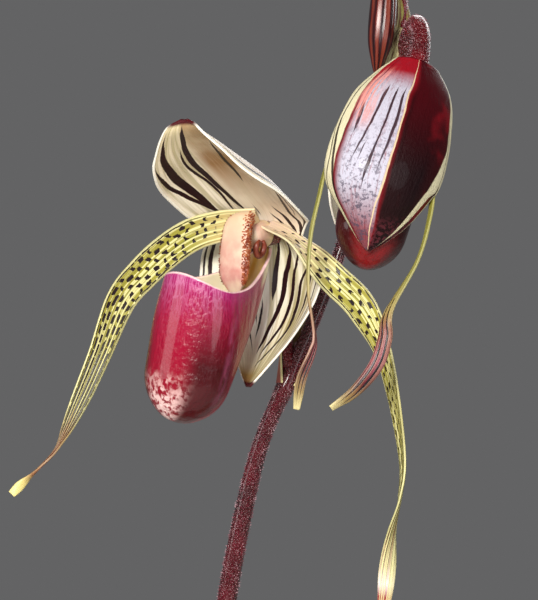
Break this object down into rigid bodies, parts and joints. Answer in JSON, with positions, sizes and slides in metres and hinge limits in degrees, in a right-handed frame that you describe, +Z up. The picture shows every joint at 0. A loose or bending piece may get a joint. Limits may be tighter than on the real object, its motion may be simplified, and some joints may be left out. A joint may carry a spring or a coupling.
{
  "type": "potted paphiopedilum orchid",
  "caption": "Potted slipper orchid: strap leaves in bark, and a leaning stem with an open bloom of long twisted spotted petals, a half-open bloom and a bud.",
  "frame": {"origin": "middle of the pot's foot, on the surface that the pot stands on", "axes": "+Z up, -Y the side that the blooms face and the picture is taken from, +X to the right in the picture"},
  "size_m": [0.4122, 0.13, 0.5735],
  "materials": {
    "clay": "matt unglazed clay, orange-brown",
    "bark": "rough matt fir bark chips, brown",
    "crown": "matt pale green plant tissue",
    "leaf": "satin leaf, mid green with a keel",
    "stem": "dark maroon stem with short hairs",
    "stalk": "maroon ovary, finely haired, satin",
    "bract": "olive sheath streaked with maroon, matt",
    "bud": "closed bud, maroon with a pale margin, satin",
    "sepal": "cream with dark maroon stripes, satin",
    "hood": "deep maroon with a blue-white sheen and cream margins",
    "petal": "yellow-green with dark maroon spots, satin",
    "pouch": "glossy magenta with paler veins and a cream toe",
    "young_pouch": "glossy dark red",
    "column": "salmon and cream, with a band of short orange papillae"
  },
  "bodies": {
    "root": {"pot": "clay", "bark_mix": "bark", "crown": "crown", "leaf_1": "leaf", "leaf_2": "leaf", "leaf_3": "leaf", "leaf_4": "leaf", "leaf_5": "leaf", "leaf_6": "leaf", "leaf_7": "leaf", "flower_stem": "stem", "open_stalk": "stalk", "half_stalk": "stalk", "bud_stalk": "stalk", "bract_open": "bract", "bract_half": "bract", "bract_bud": "bract", "bud": "bud", "open_column": "column", "open_petal_left": "petal", "open_petal_right": "petal", "open_dorsal_sepal": "sepal", "open_synsepal": "sepal", "open_pouch": "pouch", "half_column": "column", "half_petal_left": "petal", "half_petal_right": "petal", "half_dorsal_sepal": "hood", "half_synsepal": "sepal", "half_pouch": "young_pouch"}
  },
  "joints": []
}
